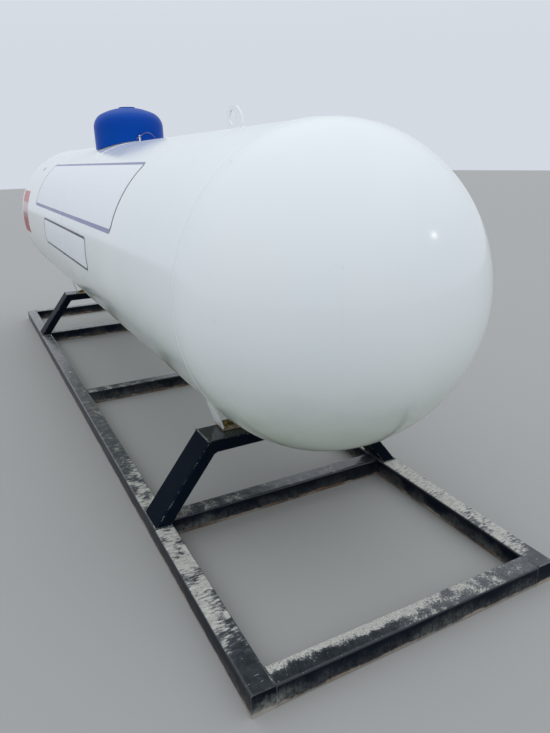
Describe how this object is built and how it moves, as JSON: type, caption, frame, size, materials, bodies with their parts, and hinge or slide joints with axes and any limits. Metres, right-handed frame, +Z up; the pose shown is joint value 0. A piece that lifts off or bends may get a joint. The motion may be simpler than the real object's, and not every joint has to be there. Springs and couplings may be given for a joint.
{
  "type": "horizontal pressure tank",
  "caption": "Horizontal gas tank with domed ends and a hinged valve cover, carried by trestles on a steel tube skid.",
  "frame": {"origin": "floor level under the middle of the skid", "axes": "+X along the tank towards the near end of the picture, +Y to the right side, +Z up"},
  "size_m": [4.965, 1.132, 1.696],
  "materials": {
    "tank_white": "gloss",
    "lid_blue": "gloss",
    "skid_black": "gloss",
    "valve_brass": "satin",
    "bare_steel": "satin"
  },
  "bodies": {
    "tank": {"shell_course_near": "tank_white", "shell_course_far": "tank_white", "head_near": "tank_white", "head_far": "tank_white", "tank_foot_near_left": "tank_white", "tank_foot_near_right": "tank_white", "tank_foot_far_left": "tank_white", "tank_foot_far_right": "tank_white", "lifting_lug_near": "tank_white", "lifting_lug_far": "tank_white", "dome_collar": "tank_white", "hinge_bracket": "tank_white", "hinge_pin": "bare_steel", "seal_staple": "tank_white", "relief_valve": "valve_brass", "fill_valve": "valve_brass", "service_valve": "valve_brass", "vapour_valve": "valve_brass", "level_gauge": "bare_steel", "runner_left": "skid_black", "runner_right": "skid_black", "end_member_near": "skid_black", "end_member_far": "skid_black", "cross_member_near": "skid_black", "cross_member_middle": "skid_black", "cross_member_far": "skid_black", "runner_cap_near_left": "skid_black", "runner_cap_near_right": "skid_black", "runner_cap_far_left": "skid_black", "runner_cap_far_right": "skid_black", "trestle_beam_near": "skid_black", "trestle_beam_far": "skid_black", "trestle_leg_near_left": "skid_black", "trestle_leg_near_right": "skid_black", "trestle_leg_far_left": "skid_black", "trestle_leg_far_right": "skid_black"},
    "lid": {"dome_lid": "lid_blue", "lid_hinge_leaf": "bare_steel", "lid_hasp": "lid_blue"}
  },
  "joints": [
    {"name": "lid_hinge", "type": "hinge", "parent": "tank", "child": "lid", "pos_m": [-0.528, 0, 1.5105], "axis": [0, -1, 0], "range_deg": [0, 95]}
  ]
}
